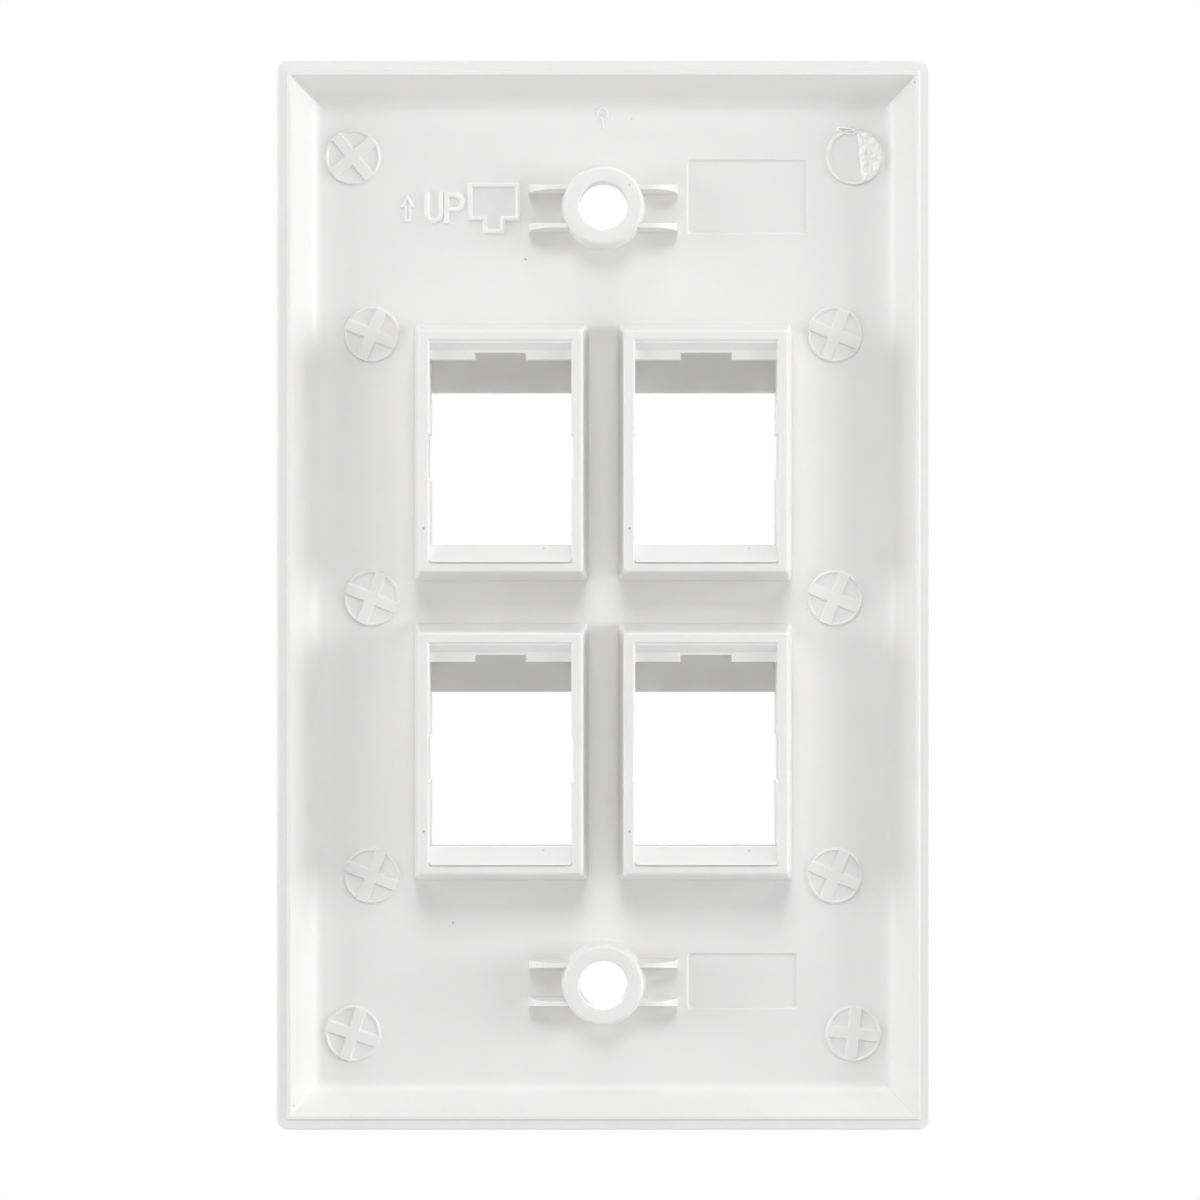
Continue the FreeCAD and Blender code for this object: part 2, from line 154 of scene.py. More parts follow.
class MarkSettings(bpy.types.PropertyGroup):
    """The scar, the torn flash and the specks."""

    scar_width: FloatProperty(
        name="Scar width", description="Width of the scar's raised line", unit="LENGTH",
        precision=5, default=0.3 * MM)
    scar_rise: FloatProperty(
        name="Scar rise", description="Height of the scar above the floor", unit="LENGTH",
        precision=5, default=0.15 * MM)
    flash_rise: FloatProperty(
        name="Flash rise", description="Height of the torn flash above its pad", unit="LENGTH",
        precision=5, default=0.5 * MM)
    flash_grain: FloatProperty(
        name="Flash grain", description="Width of the torn flash's largest lumps", unit="LENGTH",
        precision=5, default=0.75 * MM)
    flash_color: FloatVectorProperty(
        name="Flash colour", description="Colour of the torn plastic", subtype="COLOR",
        size=3, min=0, max=1, default=(0.965, 0.958, 0.945))
    speck_radius: FloatProperty(
        name="Speck radius", description="Radius of a dark speck in the plastic", unit="LENGTH",
        precision=5, default=0.14 * MM)
    speck_color: FloatVectorProperty(
        name="Speck colour", description="Colour of the dark specks", subtype="COLOR",
        size=3, min=0, max=1, default=(0.5, 0.49, 0.475))


class StageSettings(bpy.types.PropertyGroup):
    """The camera, the lamps and the floor."""

    distance: FloatProperty(
        name="Camera distance", description="From the camera to the plate's rim", unit="LENGTH",
        default=0.55)
    view_width: FloatProperty(
        name="View width", description="Width of the view at the plate's rim", unit="LENGTH",
        precision=4, default=128.25 * MM)
    top_power: FloatProperty(
        name="Top lamp", description="Power of the large lamp above the plate",
        subtype="POWER", default=2.3)
    high_power: FloatProperty(
        name="High lamp", description="Power of the lamp above the camera",
        subtype="POWER", default=3.5)
    right_power: FloatProperty(
        name="Right lamp", description="Power of the lamp on the right, seen from behind",
        subtype="POWER", default=4.0)
    left_power: FloatProperty(
        name="Left lamp", description="Power of the lamp on the left, seen from behind",
        subtype="POWER", default=3.0)
    front_share: FloatProperty(
        name="Front share", description="Power of the same lamps on the plate's front side",
        subtype="FACTOR", min=0, max=1, default=0.35)
    front_power: FloatProperty(
        name="Front lamp", description="Power of the lamp straight before the plate's front",
        subtype="POWER", default=3.8)
    ambient: FloatProperty(
        name="Ambient", description="Strength of the light from all round", min=0, default=0.055)
    floor_drop: FloatProperty(
        name="Floor drop", description="From the plate's lower edge down to the floor",
        unit="LENGTH", precision=4, default=24 * MM)


class FaceplateSettings(bpy.types.PropertyGroup):
    """All the settings, as the panel shows them."""

    finish: PointerProperty(type=FinishSettings)
    signs: PointerProperty(type=SignSettings)
    marks: PointerProperty(type=MarkSettings)
    stage: PointerProperty(type=StageSettings)


# Node trees

EDGE_SAMPLES = 4            # rays that find an edge; more are smoother and slower
# The sockets that a Mix node uses for colours
MIX_SHARE, MIX_FIRST, MIX_SECOND, MIX_RESULT = 0, 6, 7, 2


def add_node(tree, kind, **values):
    """A node with its properties and sockets set by name."""
    node = tree.nodes.new(kind)
    for name, value in values.items():
        if hasattr(node, name):
            setattr(node, name, value)
        else:
            node.inputs[name.replace("_", " ")].default_value = value
    return node


def math_node(tree, operation, *values):
    """The result of a maths node on sockets or numbers."""
    node = tree.nodes.new("ShaderNodeMath")
    node.operation = operation
    for socket, value in zip(node.inputs, values):
        if isinstance(value, (int, float)):
            socket.default_value = value
        else:
            tree.links.new(value, socket)
    return node.outputs[0]


def mix_colors(tree, share, first, second):
    """A colour that goes from the first socket's to the second's with the share."""
    node = add_node(tree, "ShaderNodeMix", data_type="RGBA")
    tree.links.new(share, node.inputs[MIX_SHARE])
    tree.links.new(first, node.inputs[MIX_FIRST])
    tree.links.new(second, node.inputs[MIX_SECOND])
    return node.outputs[MIX_RESULT]


def mix_shaders(tree, share, first, second):
    """A shader that goes from the first to the second with the share."""
    node = tree.nodes.new("ShaderNodeMixShader")
    for socket, value in zip(node.inputs, (share, first, second)):
        tree.links.new(value, socket)
    return node.outputs[0]


def new_group(name, inputs, outputs):
    """An empty node group with named sockets of (type, name, default)."""
    tree = bpy.data.node_groups.new(name, "ShaderNodeTree")
    for kind, label, default in inputs:
        socket = tree.interface.new_socket(label, in_out="INPUT", socket_type=kind)
        socket.default_value = default
    for kind, label in outputs:
        tree.interface.new_socket(label, in_out="OUTPUT", socket_type=kind)
    return tree, tree.nodes.new("NodeGroupInput"), tree.nodes.new("NodeGroupOutput")


def moulded_skin_group():
    """The skin of moulded plastic: mottling, roughness and relief from one set of noises."""
    tree, given, result = new_group(
        "Moulded skin",
        [
            ("NodeSocketColor", "Color", (0.83, 0.83, 0.83, 1)),
            ("NodeSocketColor", "Shade", (0.79, 0.79, 0.79, 1)),
            ("NodeSocketFloat", "Roughness", 0.42),
            ("NodeSocketFloat", "Grain Scale", 2800.0),
            ("NodeSocketFloat", "Grain Depth", 0.000004),
            ("NodeSocketFloat", "Ripple Scale", 140.0),
            ("NodeSocketFloat", "Ripple Depth", 0.00002),
        ],
        [
            ("NodeSocketColor", "Color"),
            ("NodeSocketFloat", "Roughness"),
            ("NodeSocketFloat", "Height"),
        ],
    )
    link = tree.links.new
    place = add_node(tree, "ShaderNodeTexCoord").outputs["Object"]
    grain = add_node(tree, "ShaderNodeTexNoise", Detail=3.0, Roughness=0.6)
    ripple = add_node(tree, "ShaderNodeTexNoise", Detail=2.0, Roughness=0.45)
    for texture, scale in ((grain, "Grain Scale"), (ripple, "Ripple Scale")):
        link(place, texture.inputs["Vector"])
        link(given.outputs[scale], texture.inputs["Scale"])
    mottle = add_node(tree, "ShaderNodeMapRange", From_Min=0.35, From_Max=0.7)
    link(ripple.outputs["Fac"], mottle.inputs["Value"])
    color = mix_colors(tree, mottle.outputs[0], given.outputs["Color"], given.outputs["Shade"])
    link(color, result.inputs["Color"])
    roughness_spread = 0.12
    rough = math_node(
        tree, "MULTIPLY_ADD", grain.outputs["Fac"], roughness_spread, given.outputs["Roughness"])
    link(rough, result.inputs["Roughness"])
    fine = math_node(tree, "MULTIPLY", grain.outputs["Fac"], given.outputs["Grain Depth"])
    slow = math_node(tree, "MULTIPLY", ripple.outputs["Fac"], given.outputs["Ripple Depth"])
    link(math_node(tree, "ADD", fine, slow), result.inputs["Height"])
    return tree


def painted_edge_highlight_group():
    """Turns the colour paler along outer edges: a painted highlight, where they would catch the
    light.
    """
    tree, given, result = new_group(
        "Rubbed edges",
        [
            ("NodeSocketColor", "Color", (0.83, 0.83, 0.83, 1)),
            ("NodeSocketColor", "Edge Color", (0.95, 0.95, 0.95, 1)),
            ("NodeSocketFloat", "Reach", 0.00016),
        ],
        [("NodeSocketColor", "Color")],
    )
    link = tree.links.new
    hollow = add_node(
        tree, "ShaderNodeAmbientOcclusion", inside=True, only_local=True, samples=EDGE_SAMPLES)
    link(given.outputs["Reach"], hollow.inputs["Distance"])
    # painted highlight: the fewer rays that stay inside near an outer edge, the paler the colour is
    # painted there
    painted_edge_light = add_node(tree, "ShaderNodeMapRange", From_Min=0.97, From_Max=0.6)
    link(hollow.outputs["AO"], painted_edge_light.inputs["Value"])
    color = mix_colors(tree, painted_edge_light.outputs[0], given.outputs["Color"], given.outputs["Edge Color"])
    link(color, result.inputs["Color"])
    return tree


def plastic_material(name, finish, extra_roughness=0.0, relief=1.0, color=None, painted_edge_light=True):
    """Plastic with the moulded skin, softened at its sharp edges, with a painted highlight along them
    if asked.
    """
    material = bpy.data.materials.new(name)
    material.use_nodes = True
    tree = material.node_tree
    link = tree.links.new
    shader = tree.nodes["Principled BSDF"]
    shader.inputs["IOR"].default_value = 1.53
    shader.inputs["Subsurface Weight"].default_value = 0.12
    shader.inputs["Subsurface Scale"].default_value = 0.5 * MM
    shader.inputs["Subsurface Radius"].default_value = (1.0, 0.8, 0.6)
    skin = tree.nodes.new("ShaderNodeGroup")
    skin.node_tree = bpy.data.node_groups.get("Moulded skin") or moulded_skin_group()
    skin.inputs["Color"].default_value = (*(color or finish.color), 1)
    skin.inputs["Shade"].default_value = (*(color or finish.shade), 1)
    skin.inputs["Roughness"].default_value = finish.roughness + extra_roughness
    skin.inputs["Grain Scale"].default_value = 1 / finish.grain_size
    skin.inputs["Grain Depth"].default_value = finish.grain_depth * relief
    skin.inputs["Ripple Scale"].default_value = 1 / finish.ripple_size
    skin.inputs["Ripple Depth"].default_value = finish.ripple_depth * relief
    soft = add_node(tree, "ShaderNodeBevel", samples=EDGE_SAMPLES, Radius=finish.edge_round)
    bump = add_node(tree, "ShaderNodeBump", Distance=1.0, Strength=1.0)
    link(skin.outputs["Height"], bump.inputs["Height"])
    link(soft.outputs["Normal"], bump.inputs["Normal"])
    # painted highlight: the outer edges' colour is made paler, in place of the light they catch
    if painted_edge_light:
        edges = tree.nodes.new("ShaderNodeGroup")
        edges.node_tree = bpy.data.node_groups.get("Rubbed edges") or painted_edge_highlight_group()
        edges.inputs["Edge Color"].default_value = (*finish.edge_highlight_color, 1)
        edges.inputs["Reach"].default_value = finish.edge_highlight_reach
        link(skin.outputs["Color"], edges.inputs["Color"])
        link(edges.outputs["Color"], shader.inputs["Base Color"])
    else:
        link(skin.outputs["Color"], shader.inputs["Base Color"])
    link(skin.outputs["Roughness"], shader.inputs["Roughness"])
    link(bump.outputs["Normal"], shader.inputs["Normal"])
    return material


def plate_plastic():
    """The plate's own plastic, which its finishing makes."""
    material = bpy.data.materials.get(PLATE_PLASTIC)
    if material is None:
        raise RuntimeError("the moulding has to be finished first")
    return material


def sign_plastic_painted_bright():
    """The smoother plastic of the raised signs, painted paler than the plate's as a painted
    highlight, made once.
    """
    settings = bpy.context.scene.faceplate
    made = bpy.data.materials.get(SIGN_PLASTIC_PAINTED_BRIGHT)
    return made or plastic_material(
        SIGN_PLASTIC_PAINTED_BRIGHT, settings.finish, extra_roughness=-0.06, color=settings.signs.color)


# Mesh helpers

def plate():
    """The plate's own object."""
    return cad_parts[PLATE_NODE]


def seat(right, up):
    """The point of the plate's rear that lies at (right, up) seen from behind, and its normal."""
    start = Vector((-right, CAD_BOX[1].y + MM, up))
    hit, point, normal, _ = plate().ray_cast(start, -REAR)
    if not hit:
        raise RuntimeError(f"nothing of the plate lies at {right}, {up}")
    return point, normal


def add_piece(name, mesh, material):
    """Adds a finished piece that rides on the plate."""
    mesh.materials.append(material)
    mesh.shade_smooth()
    mesh.set_sharp_from_angle(angle=SMOOTH_ANGLE)
    piece = bpy.data.objects.new(name, mesh)
    bpy.context.scene.collection.objects.link(piece)
    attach(piece, BODY)


def mesh_from(name, builder):
    """A mesh from a bmesh, with its faces turned outward."""
    bmesh.ops.recalc_face_normals(builder, faces=builder.faces)
    mesh = bpy.data.meshes.new(name)
    builder.to_mesh(mesh)
    builder.free()
    return mesh


def join_rings(builder, rings, closed=False):
    """Faces from each ring to the next, and from the last to the first if closed."""
    pairs = list(zip(rings, rings[1:]))
    if closed:
        pairs.append((rings[-1], rings[0]))
    for ring, following in pairs:
        for k, corner in enumerate(ring):
            j = (k + 1) % len(ring)
            builder.faces.new((corner, ring[j], following[j], following[k]))


def cap_rings(builder, rings):
    """One face over each end of a row of rings."""
    builder.faces.new(rings[0])
    builder.faces.new(rings[-1])


def arc(middle, radius, start, end, steps=14):
    """Points on an arc between two angles in degrees, about a middle (right, up)."""
    angles = [math.radians(start + (end - start) * i / steps) for i in range(steps + 1)]
    return [(middle[0] + radius * math.cos(a), middle[1] + radius * math.sin(a)) for a in angles]


def oval(middle, half_length, half_width, tilt, steps=24):
    """Points on an oval about a middle (right, up), turned by a tilt in degrees."""
    along = Vector((math.cos(math.radians(tilt)), math.sin(math.radians(tilt))))
    length, width = along * half_length, along.orthogonal() * half_width
    return [middle + length * a + width * b for a, b in arc((0, 0), 1, 0, 360, steps)[:-1]]


# Raised strokes

DOME_START = 8              # degrees above the floor at which a stroke's dome starts
DOME_STEPS = 10
DOME_FULLNESS = 0.8         # under 1, the dome is fuller than half an ellipse
FOOT_SPREAD = 0.15          # how far a stroke's root leans out, to its depth
SHARPEST_MITRE = 0.35       # cosine of half the sharpest turn that gets a full mitre


def stroke_profile(width, rise):
    """Domed section of a raised stroke, as (offset, height), from root to root."""
    half_round = arc((0, 0), 1, DOME_START, 180 - DOME_START, DOME_STEPS)
    dome = [(width / 2 * a, rise * b ** DOME_FULLNESS) for a, b in half_round]
    half_foot = width / 2 + FOOT_SPREAD * SINK
    return [(half_foot, -SINK)] + dome + [(-half_foot, -SINK)]


def add_stroke(builder, path, width, rise, closed=False, swell=None):
    """Sweeps a raised stroke along a path of (right, up) points on the plate's floor.

    swell gives the share of its full width and height at each fraction of its length.
    """
    points = [Vector(point) for point in path]
    base, _ = seat(*path[0])
    profile = stroke_profile(width, rise)
    count = len(points)
    rings = []
    for i, point in enumerate(points):
        before = points[i - 1] if closed or i > 0 else 2 * point - points[1]
        after = points[(i + 1) % count] if closed or i < count - 1 else 2 * point - points[i - 1]
        inward = (point - before).normalized()
        outward = (after - point).normalized()
        along = (inward + outward).normalized()
        mitre = 1 / max(SHARPEST_MITRE, along.dot(outward))
        side = Vector((-along.y, along.x)) * mitre
        share = swell(i / (count - 1)) if swell else 1
        ring = []
        for offset, height in profile:
            spot = point + side * offset * share
            level = height * share if height > 0 else height
            ring.append(builder.verts.new((-spot.x, base.y + level, spot.y)))
        rings.append(ring)
    join_rings(builder, rings, closed)
    if not closed:
        cap_rings(builder, rings)


def add_stroke_piece(name, path, width, rise, material, closed=False):
    """Adds a piece made of one raised stroke."""
    builder = bmesh.new()
    add_stroke(builder, path, width, rise, closed)
    add_piece(name, mesh_from(name, builder), material)


def hook_swell(along):
    """The scar's hook is thickest at both ends."""
    return 1.1 - 0.5 * math.sin(math.pi * along)


def tail_swell(along):
    """The scar's tail gets thinner towards its end."""
    return 1.15 - 0.75 * along


# Specks

SPECK_SIDES = 14
SPECK_CROWN = 0.5           # share of a speck's radius inside which it is round
SPECK_RIM = (0.75, 1.1)     # least and greatest share of the radius at its uneven rim
# Share of the radius, and height to the radius, of the rings from the crown to the root
SPECK_RINGS = ((SPECK_CROWN, 0.08), (1, 0.03), (0.9, -0.32))

# Specks outside the ports: right, up and share of the full radius
LONE_SPECKS = (
    (-8.37 * MM, 36.18 * MM, 1.0),
    (UPPER_BOSS[0] + 2.8 * MM, UPPER_BOSS[1] + 2.2 * MM, 0.6),
    (3.08 * MM, 51.32 * MM, 0.45),
    (-16.21 * MM, -35.24 * MM, 0.8),
    (-33.1 * MM, -54.6 * MM, 0.9),
    (33.3 * MM, 54.9 * MM, 0.9),
)
# Specks that every port has, from the port's middle
PORT_SPECKS = (
    (-8.15 * MM, -6.5 * MM, 1.0),
    (4.6 * MM, -8.6 * MM, 0.7),
)


def speck_places():
    """Right, up and share of the full radius of every speck."""
    places = list(LONE_SPECKS)
    for column in (-PORT_COLUMN, PORT_COLUMN):
        for row in PORT_ROWS:
            places += [(column + right, row + up, share) for right, up, share in PORT_SPECKS]
    return places


def add_speck(builder, place, radius, uneven):
    """A lens of plastic set in the surface at (right, up), its edge uneven by a row of shares."""
    base, normal = seat(*place)
    across = normal.orthogonal().normalized()
    along = normal.cross(across)
    rings = []
    for share, height in SPECK_RINGS:
        ring = []
        for i in range(SPECK_SIDES):
            angle = math.tau * i / SPECK_SIDES
            reach = radius * share
            if share > SPECK_CROWN:
                reach *= uneven[i % len(uneven)]
            spot = base + (across * math.cos(angle) + along * math.sin(angle)) * reach
            ring.append(builder.verts.new(spot + normal * height * radius))
        rings.append(ring)
    join_rings(builder, rings)
    cap_rings(builder, rings)


# Torn flash

FLASH_ROWS = 100
FLASH_ACROSS = 32
FLASH_TAPER = 0.08          # share of its length in which the flash rises at each end
FLASH_LIP = 0.1             # share of its width in which it rises at each side
FLASH_THIN = 0.45           # height at the inner side, to the full rise
FLASH_GAIN = 0.5            # how much it gains towards the ring
FLASH_WAVE = 0.16 * MM      # how far its sides wander
FLASH_WAVES = 14            # length of its sides, in widths of one wave
FLASH_REACH = 3.0 * MM      # from the pad's middle to its outer side
FLASH_BULGE = 0.12 * MM     # how much farther it reaches at its middle
LINE_WANDER = 0.07 * MM     # how far the thin line leaves the ring's crest
LINE_DETAIL = 2.4           # larger gives the thin line more turns
# Height and width of each kind of lump, to the full rise and to the grain
FLASH_LUMPS = ((0.4, 1), (0.3, 0.45), (0.14, 0.25))


def flash_height(spot, along, side, rise, grain):
    """Height of the torn flash, at shares of its length and width."""
    from_end = min(along, 1 - along) / FLASH_TAPER
    from_side = min(side, 1 - side) / FLASH_LIP
    edge = min(1, from_end, from_side)
    lump = FLASH_THIN + FLASH_GAIN * side
    for share, scale in FLASH_LUMPS:
        lump += share * noise.noise(Vector((spot.x, spot.y, SEED * grain)) / (scale * grain))
    return rise * math.sin(edge * math.pi / 2) * lump


def torn_patch(builder, inner, outer, base_y, rise, grain):
    """A closed, lumpy patch between two lines of (right, up) points of the same length."""
    rings = []
    for i, (start, end) in enumerate(zip(inner, outer)):
        along = i / (len(inner) - 1)
        top, root = [], []
        for j in range(FLASH_ACROSS + 1):
            side = j / FLASH_ACROSS
            spot = start.lerp(end, side)
            height = flash_height(spot, along, side, rise, grain)
            top.append(builder.verts.new((-spot.x, base_y + height, spot.y)))
            root.append(builder.verts.new((-spot.x, base_y - SINK, spot.y)))
        rings.append(top + root[::-1])
    join_rings(builder, rings)
    for ring in (rings[0], rings[-1]):
        for k in range(FLASH_ACROSS):
            builder.faces.new((ring[k], ring[k + 1], ring[-k - 2], ring[-k - 1]))


def flash_sides(middle):
    """The torn flash's inner side, across the pad, and its outer side, along the ring."""
    inner_start = middle + Vector((0.38, 2.62)) * MM
    inner_end = middle + Vector((0.93, -2.68)) * MM
    outer_start, outer_end = 68, -66
    inner, outer = [], []
    for i in range(FLASH_ROWS + 1):
        along = i / FLASH_ROWS
        wave = FLASH_WAVE * noise.noise(Vector((0, 0, FLASH_WAVES * along)))
        inner.append(inner_start.lerp(inner_end, along) + Vector((wave, 0)))
        angle = math.radians(outer_start + (outer_end - outer_start) * along)
        reach = FLASH_REACH + FLASH_BULGE * math.sin(math.pi * along) + wave
        outer.append(middle + Vector((math.cos(angle), math.sin(angle))) * reach)
    return inner, outer


def flash_line(middle):
    """The wandering line of flash on the ring's crest, on the side away from the torn flash."""
    line = []
    for a, b in arc((0, 0), radius=1, start=104, end=296, steps=96):
        wander = LINE_WANDER * noise.noise(Vector((LINE_DETAIL * a, LINE_DETAIL * b, SEED)))
        line.append(middle + Vector((a, b)) * (PAD_CREST + wander))
    return line


# Operators

class FACEPLATE_OT_finish_moulding(bpy.types.Operator):
    """Give the moulded plate its white plastic"""

    bl_idname = "faceplate.finish_moulding"
    bl_label = "Finish the moulding"

    def execute(self, context):
        material = plastic_material(PLATE_PLASTIC, context.scene.faceplate.finish)
        for slot in plate().material_slots:
            slot.material = material
        return {"FINISHED"}


class FACEPLATE_OT_add_arrow(bpy.types.Operator):
    """Add the raised arrow that shows which end is up"""

    bl_idname = "faceplate.add_arrow"
    bl_label = "Add the arrow"

    def execute(self, context):
        signs = context.scene.faceplate.signs
        half = signs.arrow_outline / 2
        middle = -21.07 * MM
        tip = 43.0 * MM - half
        barb = 41.9 * MM
        foot = 40.15 * MM + half
        half_head = 0.63 * MM - half
        half_shaft = 0.38 * MM - half
        outline = [
            (middle, tip),
            (middle + half_head, barb),
            (middle + half_shaft, barb),
            (middle + half_shaft, foot),
            (middle - half_shaft, foot),
            (middle - half_shaft, barb),
            (middle - half_head, barb),
        ]
        add_stroke_piece(
            "arrow_sign", outline, signs.arrow_outline, signs.arrow_rise, sign_plastic_painted_bright(), closed=True)
        return {"FINISHED"}


class FACEPLATE_OT_add_letters(bpy.types.Operator):
    """Add the raised letters U and P"""

    bl_idname = "faceplate.add_letters"
    bl_label = "Add the letters"

    def execute(self, context):
        signs = context.scene.faceplate.signs
        half = signs.stroke / 2
        top = signs.baseline + signs.letter_height - half
        foot = signs.baseline + half
        left = -18.99 * MM
        bend = 0.77 * MM
        round_foot = arc((left + bend, foot + bend), bend, start=180, end=360)
        u_path = [(left, top + half)] + round_foot + [(left + 2 * bend, top + half)]
        add_stroke_piece("letter_u", u_path, signs.stroke, signs.rise, sign_plastic_painted_bright())
        stem = -16.87 * MM
        bowl = 0.79 * MM
        bowl_turn = stem + 0.92 * MM
        p_path = [(stem, foot - half), (stem, top), (bowl_turn, top)]
        p_path += arc((bowl_turn, top - bowl), bowl, start=90, end=-90)[1:]
        p_path.append((stem, top - 2 * bowl))
        add_stroke_piece("letter_p", p_path, signs.stroke, signs.rise, sign_plastic_painted_bright())
        return {"FINISHED"}


class FACEPLATE_OT_add_jack_sign(bpy.types.Operator):
    """Add the raised outline of a jack's mouth, with the tab's place at the bottom"""

    bl_idname = "faceplate.add_jack_sign"
    bl_label = "Add the jack sign"

    def execute(self, context):
        signs = context.scene.faceplate.signs
        left, right = -14.33 * MM, -9.15 * MM
        top, sill = 44.2 * MM, 40.6 * MM
        tab_left, tab_right = -12.71 * MM, -10.82 * MM
        tab_foot = 39.2 * MM
        outline = [
            (left, top),
            (left, sill),
            (tab_left, sill),
            (tab_left, tab_foot),
            (tab_right, tab_foot),
            (tab_right, sill),
            (right, sill),
            (right, top),
        ]
        add_stroke_piece("jack_sign", outline, signs.outline, signs.rise, sign_plastic_painted_bright(), closed=True)
        return {"FINISHED"}


class FACEPLATE_OT_add_scar(bpy.types.Operator):
    """Add the small hook-shaped scar above the upper boss"""

    bl_idname = "faceplate.add_scar"
    bl_label = "Add the hook scar"

    def execute(self, context):
        marks = context.scene.faceplate.marks
        width, rise = marks.scar_width, marks.scar_rise
        middle = (-0.11 * MM, 51.82 * MM)
        tail_middle = (-1.9 * MM, 50.35 * MM)
        hook = arc(middle, radius=0.58 * MM, start=200, end=-40, steps=22)
        tail = arc(tail_middle, radius=1.93 * MM, start=32, end=-7, steps=8)
        dot = arc(middle, radius=0.1 * MM, start=0, end=330, steps=11)
        builder = bmesh.new()
        add_stroke(builder, hook, width, rise, swell=hook_swell)
        add_stroke(builder, tail, width, rise, swell=tail_swell)
        add_stroke(builder, dot, width=0.6 * width, rise=0.7 * rise, closed=True)
        add_piece("hook_scar", mesh_from("hook_scar", builder), plate_plastic())
        return {"FINISHED"}


class FACEPLATE_OT_add_flash(bpy.types.Operator):
    """Add the torn flash on the plain pad, the loop at its top and the line round its ring"""

    bl_idname = "faceplate.add_flash"
    bl_label = "Add the torn flash"

    def execute(self, context):
        settings = context.scene.faceplate
        marks = settings.marks
        rise = marks.flash_rise
        middle = Vector(UPPER_RIGHT_PAD)
        base, _ = seat(*middle)
        material = plastic_material(
            "White plastic, torn", settings.finish, extra_roughness=0.3, relief=2.0,
            color=marks.flash_color, painted_edge_light=False)

        builder = bmesh.new()
        torn_patch(builder, *flash_sides(middle), base.y, rise, marks.flash_grain)
        add_piece("torn_flash", mesh_from("torn_flash", builder), material)

        loop_middle = middle + Vector((-0.72, 2.82)) * MM
        loop = oval(loop_middle, half_length=0.98 * MM, half_width=0.3 * MM, tilt=-13)
        loop_width, loop_rise = 0.25 * MM, 0.45 * rise
        add_stroke_piece("flash_loop", loop, loop_width, loop_rise, material, closed=True)

        line_width, line_rise = 0.2 * MM, 0.2 * rise
        add_stroke_piece("flash_line", flash_line(middle), line_width, line_rise, material)
        return {"FINISHED"}


class FACEPLATE_OT_add_specks(bpy.types.Operator):
    """Add the dark specks in the plastic"""

    bl_idname = "faceplate.add_specks"
    bl_label = "Add the specks"

    def execute(self, context):
        settings = context.scene.faceplate
        marks = settings.marks
        chance = random.Random(SEED)
        builder = bmesh.new()
        for right, up, share in speck_places():
            uneven = [chance.uniform(*SPECK_RIM) for _ in range(SPECK_SIDES // 2)]
            add_speck(builder, (right, up), marks.speck_radius * share, uneven)
        material = plastic_material(
            "Dark speck", settings.finish, extra_roughness=0.1, color=marks.speck_color, painted_edge_light=False)
        add_piece("specks", mesh_from("specks", builder), material)
        return {"FINISHED"}


class FACEPLATE_OT_build_stage(bpy.types.Operator):
    """Set the floor, the light and the camera"""

    bl_idname = "faceplate.build_stage"
    bl_label = "Build the stage"

    def execute(self, context):
        stage = context.scene.faceplate.stage
        build_world(stage)
        build_floor(stage)
        build_lamps(stage)
        build_camera(stage)
        context.scene.view_settings.view_transform = "Standard"
        return {"FINISHED"}


# Stage

CAMERA_SIDE = 0.35 * MM     # the camera stands this far to +X of the plate's middle
CAMERA_HEIGHT = -0.5 * MM
SENSOR = 36.0 * MM
FLOOR_RADIUS = 6.0
FLOOR_COLOR = (0.8, 0.8, 0.8, 1)
FLOOR_LIFT = 0.24           # glow that the camera sees on the floor, nearer the white around it
SHADOW_RADIUS = 0.15        # past this the floor is as white as what is behind it
SHADOW_CORE = 0.4           # share of that radius in which the shadow shows in full
LAMP_COLOR = (0.986, 0.99, 1.0)

# Place and width of each soft lamp behind the plate
REAR_LAMPS = {
    "top": ((-0.1, 0.3, 0.9), 0.5),
    "high": ((0.0, 0.82, 0.64), 0.4),
    "right": ((-0.8, 0.28, 0.07), 0.4),
    "left": ((0.8, 0.28, 0.07), 0.4),
}
FRONT_LAMP_PLACE = (0.1, -1.0, 0.35)
FRONT_LAMP_WIDTH = 0.5


def seen_directly(tree):
    """1 for the rays that show the white background: the camera's, reflected and passed on."""
    ray = tree.nodes.new("ShaderNodeLightPath")
    seen = math_node(tree, "MAXIMUM", ray.outputs["Is Camera Ray"], ray.outputs["Is Glossy Ray"])
    return math_node(tree, "MAXIMUM", seen, ray.outputs["Is Transmission Ray"])


def build_world(stage):
    """White to the camera and in reflections, and an even ambient light elsewhere."""
    world = bpy.data.worlds.new("Studio")
    bpy.context.scene.world = world
    world.use_nodes = True
    tree = world.node_tree
    tree.nodes.clear()
    ambient = add_node(tree, "ShaderNodeBackground", Color=(*LAMP_COLOR, 1), Strength=stage.ambient)
    white = add_node(tree, "ShaderNodeBackground", Color=WHITE, Strength=1.0)
    light = mix_shaders(tree, seen_directly(tree), ambient.outputs[0], white.outputs[0])
    output = tree.nodes.new("ShaderNodeOutputWorld")
    tree.links.new(light, output.inputs["Surface"])


